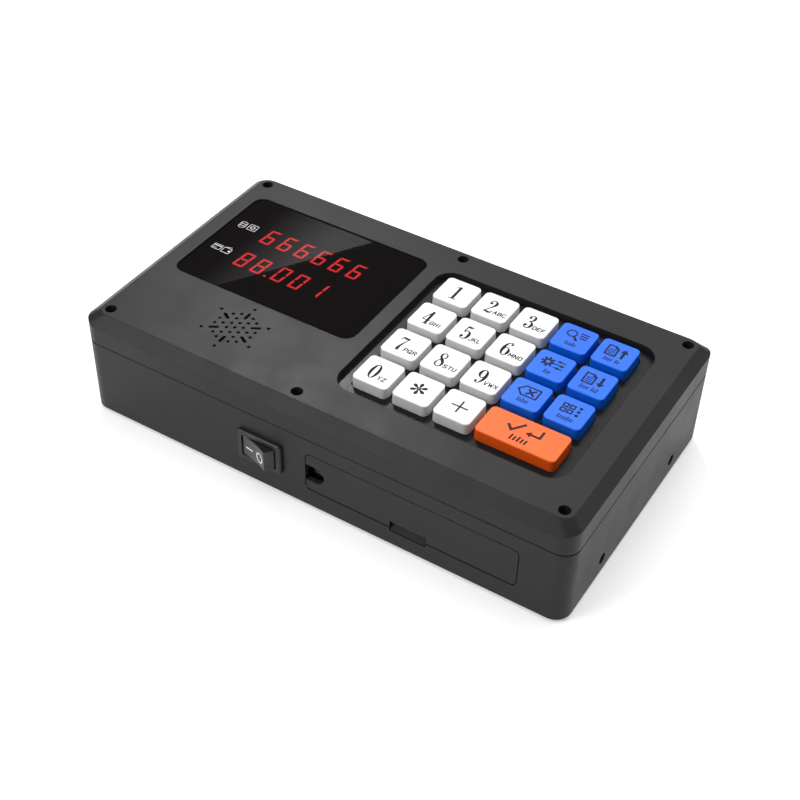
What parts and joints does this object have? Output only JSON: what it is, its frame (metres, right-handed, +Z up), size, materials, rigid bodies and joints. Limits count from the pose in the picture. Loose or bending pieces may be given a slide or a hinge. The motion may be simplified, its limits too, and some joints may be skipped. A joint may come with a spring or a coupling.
{
  "type": "prepaid card payment terminal",
  "caption": "Desktop prepaid-card payment terminal: flat case with bevelled cover, digit display behind a smoked window, keypad, loudspeaker grille, rocker switch and battery door.",
  "frame": {"origin": "centre of the whole object's footprint, on the plane its feet rest on", "axes": "+X to the operator's right along the long side, +Y towards the back, +Z up; the switch and battery door are on the -Y side"},
  "size_m": [0.226, 0.1321, 0.0527],
  "materials": {
    "case_plastic": "fine satin moulding texture",
    "lens": "smoked, polished",
    "tape": "matt black foam tape",
    "board": "satin green solder mask",
    "display": "matt black face with red segments",
    "copper": "bare copper track",
    "plate": "semi-gloss dark moulding",
    "silicone": "matt translucent silicone",
    "steel": "zinc-plated steel",
    "cone": "coated paper cone",
    "cloth": "thin acoustic cloth",
    "switch_black": "satin black nylon",
    "rocker_black": "semi-gloss black",
    "tin": "tinned / zinc-plated steel",
    "shrink": "blue heat-shrink sleeve",
    "chip": "matt black epoxy",
    "can": "aluminium can",
    "connector": "cream nylon",
    "ribbon": "grey ribbon cable",
    "wire": "PVC insulation",
    "screw": "black zinc steel",
    "feet": "matt black rubber",
    "key_white": "satin white keycap with printed digits",
    "key_blue": "satin blue keycap with printed signs",
    "key_orange": "satin orange keycap with a printed sign"
  },
  "bodies": {
    "case": {"top_cover": "case_plastic", "lower_housing": "case_plastic", "display_lens": "lens", "lens_tape": "tape", "display_board": "board", "led_digits_upper": "display", "led_digits_lower": "display", "card_antenna": "copper", "keypad_plate": "plate", "key_mat": "silicone", "keypad_board": "board", "speaker_frame": "steel", "speaker_cone": "cone", "speaker_magnet": "steel", "speaker_cloth": "cloth", "switch_housing": "switch_black", "switch_terminals": "tin", "battery_tray": "plate", "battery_pack": "shrink", "charge_socket": "switch_black", "socket_board": "board", "main_board": "board", "board_chips": "chip", "board_capacitors": "can", "board_connectors": "connector", "display_ribbon": "ribbon", "keypad_ribbon": "ribbon", "battery_wires": "wire", "switch_wires": "wire", "speaker_wires": "wire", "cover_screws": "screw", "main_board_screws": "tin", "display_screws": "tin", "keypad_screws": "tin", "rubber_feet": "feet"},
    "key_1_cap": {"key_1": "key_white"},
    "key_2_cap": {"key_2": "key_white"},
    "key_3_cap": {"key_3": "key_white"},
    "key_4_cap": {"key_4": "key_white"},
    "key_5_cap": {"key_5": "key_white"},
    "key_6_cap": {"key_6": "key_white"},
    "key_7_cap": {"key_7": "key_white"},
    "key_8_cap": {"key_8": "key_white"},
    "key_9_cap": {"key_9": "key_white"},
    "key_0_cap": {"key_0": "key_white"},
    "key_star_cap": {"key_star": "key_white"},
    "key_plus_cap": {"key_plus": "key_white"},
    "key_query_cap": {"key_query": "key_blue"},
    "key_page_up_cap": {"key_page_up": "key_blue"},
    "key_set_cap": {"key_set": "key_blue"},
    "key_page_down_cap": {"key_page_down": "key_blue"},
    "key_clear_cap": {"key_clear": "key_blue"},
    "key_function_cap": {"key_function": "key_blue"},
    "key_enter_cap": {"key_enter": "key_orange"},
    "rocker_arm": {"rocker": "rocker_black"},
    "door": {"battery_door": "case_plastic"}
  },
  "joints": [
    {"name": "key_1_press", "type": "slide", "parent": "case", "child": "key_1_cap", "axis": [0, 0, -1], "range_m": [0, 0.002], "stiffness_N_per_m": 300, "springref_m": -0.001, "deforming": ["key_mat"]},
    {"name": "key_2_press", "type": "slide", "parent": "case", "child": "key_2_cap", "axis": [0, 0, -1], "range_m": [0, 0.002], "stiffness_N_per_m": 300, "springref_m": -0.001, "deforming": ["key_mat"]},
    {"name": "key_3_press", "type": "slide", "parent": "case", "child": "key_3_cap", "axis": [0, 0, -1], "range_m": [0, 0.002], "stiffness_N_per_m": 300, "springref_m": -0.001, "deforming": ["key_mat"]},
    {"name": "key_4_press", "type": "slide", "parent": "case", "child": "key_4_cap", "axis": [0, 0, -1], "range_m": [0, 0.002], "stiffness_N_per_m": 300, "springref_m": -0.001, "deforming": ["key_mat"]},
    {"name": "key_5_press", "type": "slide", "parent": "case", "child": "key_5_cap", "axis": [0, 0, -1], "range_m": [0, 0.002], "stiffness_N_per_m": 300, "springref_m": -0.001, "deforming": ["key_mat"]},
    {"name": "key_6_press", "type": "slide", "parent": "case", "child": "key_6_cap", "axis": [0, 0, -1], "range_m": [0, 0.002], "stiffness_N_per_m": 300, "springref_m": -0.001, "deforming": ["key_mat"]},
    {"name": "key_7_press", "type": "slide", "parent": "case", "child": "key_7_cap", "axis": [0, 0, -1], "range_m": [0, 0.002], "stiffness_N_per_m": 300, "springref_m": -0.001, "deforming": ["key_mat"]},
    {"name": "key_8_press", "type": "slide", "parent": "case", "child": "key_8_cap", "axis": [0, 0, -1], "range_m": [0, 0.002], "stiffness_N_per_m": 300, "springref_m": -0.001, "deforming": ["key_mat"]},
    {"name": "key_9_press", "type": "slide", "parent": "case", "child": "key_9_cap", "axis": [0, 0, -1], "range_m": [0, 0.002], "stiffness_N_per_m": 300, "springref_m": -0.001, "deforming": ["key_mat"]},
    {"name": "key_0_press", "type": "slide", "parent": "case", "child": "key_0_cap", "axis": [0, 0, -1], "range_m": [0, 0.002], "stiffness_N_per_m": 300, "springref_m": -0.001, "deforming": ["key_mat"]},
    {"name": "key_star_press", "type": "slide", "parent": "case", "child": "key_star_cap", "axis": [0, 0, -1], "range_m": [0, 0.002], "stiffness_N_per_m": 300, "springref_m": -0.001, "deforming": ["key_mat"]},
    {"name": "key_plus_press", "type": "slide", "parent": "case", "child": "key_plus_cap", "axis": [0, 0, -1], "range_m": [0, 0.002], "stiffness_N_per_m": 300, "springref_m": -0.001, "deforming": ["key_mat"]},
    {"name": "key_query_press", "type": "slide", "parent": "case", "child": "key_query_cap", "axis": [0, 0, -1], "range_m": [0, 0.002], "stiffness_N_per_m": 300, "springref_m": -0.001, "deforming": ["key_mat"]},
    {"name": "key_page_up_press", "type": "slide", "parent": "case", "child": "key_page_up_cap", "axis": [0, 0, -1], "range_m": [0, 0.002], "stiffness_N_per_m": 300, "springref_m": -0.001, "deforming": ["key_mat"]},
    {"name": "key_set_press", "type": "slide", "parent": "case", "child": "key_set_cap", "axis": [0, 0, -1], "range_m": [0, 0.002], "stiffness_N_per_m": 300, "springref_m": -0.001, "deforming": ["key_mat"]},
    {"name": "key_page_down_press", "type": "slide", "parent": "case", "child": "key_page_down_cap", "axis": [0, 0, -1], "range_m": [0, 0.002], "stiffness_N_per_m": 300, "springref_m": -0.001, "deforming": ["key_mat"]},
    {"name": "key_clear_press", "type": "slide", "parent": "case", "child": "key_clear_cap", "axis": [0, 0, -1], "range_m": [0, 0.002], "stiffness_N_per_m": 300, "springref_m": -0.001, "deforming": ["key_mat"]},
    {"name": "key_function_press", "type": "slide", "parent": "case", "child": "key_function_cap", "axis": [0, 0, -1], "range_m": [0, 0.002], "stiffness_N_per_m": 300, "springref_m": -0.001, "deforming": ["key_mat"]},
    {"name": "key_enter_press", "type": "slide", "parent": "case", "child": "key_enter_cap", "axis": [0, 0, -1], "range_m": [0, 0.002], "stiffness_N_per_m": 300, "springref_m": -0.001, "deforming": ["key_mat"]},
    {"name": "rocker_tilt", "type": "hinge", "parent": "case", "child": "rocker_arm", "pos_m": [-0.0236, -0.05937, 0.0204], "axis": [0, 0, 1], "range_deg": [0, 32.4]},
    {"name": "door_swing", "type": "hinge", "parent": "case", "child": "door", "pos_m": [0.0451, -0.06092, 0.0296], "axis": [-1, 0, 0], "range_deg": [0, 80]}
  ]
}
